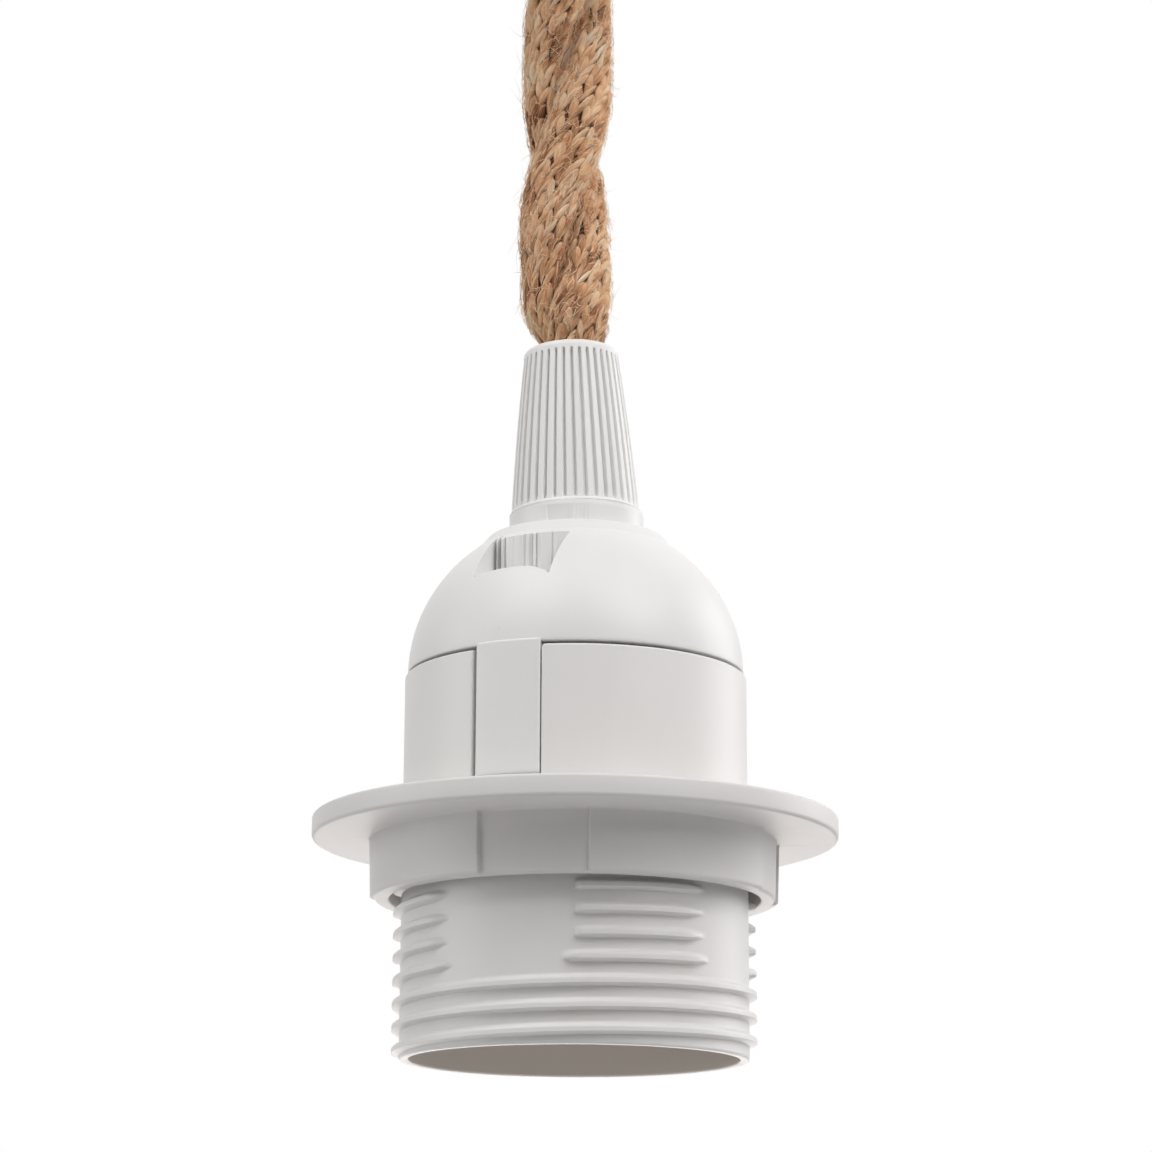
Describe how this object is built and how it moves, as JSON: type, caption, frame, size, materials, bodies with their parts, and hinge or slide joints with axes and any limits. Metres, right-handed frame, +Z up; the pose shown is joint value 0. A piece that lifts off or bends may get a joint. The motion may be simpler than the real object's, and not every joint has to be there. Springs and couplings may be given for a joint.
{
  "type": "pendant light",
  "caption": "Hanging lamp holder with a threaded barrel, a screw-on shade ring, a domed cap and a ribbed grip nut, on a twisted jute cord from a ceiling cup.",
  "frame": {"origin": "centre of the ceiling bracket's upper face, on the ceiling, on the axis that everything hangs on", "axes": "+Z up along the axis of cord and holder, -Y the side that the picture shows, +X to its right"},
  "size_m": [0.0834, 0.08, 0.193],
  "materials": {
    "white_plastic": "moulded satin white",
    "ring_plastic": "moulded matt warm white",
    "nut_plastic": "moulded satin white",
    "insulating_plastic": "pressed insulating plastic",
    "jute": "braided natural jute, hairy",
    "brass": "drawn sheet, satin",
    "steel": "zinc plated",
    "brown_lead": "extruded insulation",
    "blue_lead": "extruded insulation"
  },
  "bodies": {
    "pendant": {"outer_skirt": "white_plastic", "dome_cap": "white_plastic", "cord_grip_nut": "nut_plastic", "cord_grip_collet": "insulating_plastic", "lamp_thread_shell": "brass", "terminal_base": "insulating_plastic", "shell_rivet": "brass", "centre_contact_rivet": "brass", "centre_contact": "brass", "live_terminal": "brass", "neutral_terminal": "brass", "live_terminal_screw": "steel", "neutral_terminal_screw": "steel", "live_lead": "brown_lead", "neutral_lead": "blue_lead", "jute_cord": "jute", "ceiling_cup": "white_plastic", "ceiling_bracket": "steel", "cup_screw_left": "steel", "cup_screw_right": "steel", "ceiling_gland": "nut_plastic", "gland_clamp_screw": "nut_plastic", "gland_lock_nut": "nut_plastic", "ceiling_terminal_block": "insulating_plastic", "ceiling_live_screw": "steel", "ceiling_neutral_screw": "steel", "ceiling_live_lead": "brown_lead", "ceiling_neutral_lead": "blue_lead"},
    "shade_ring": {"shade_ring": "ring_plastic"}
  },
  "joints": [
    {"name": "ring_unscrew", "type": "slide", "parent": "pendant", "child": "shade_ring", "axis": [0, 0, -1], "range_m": [0, 0.03]}
  ]
}
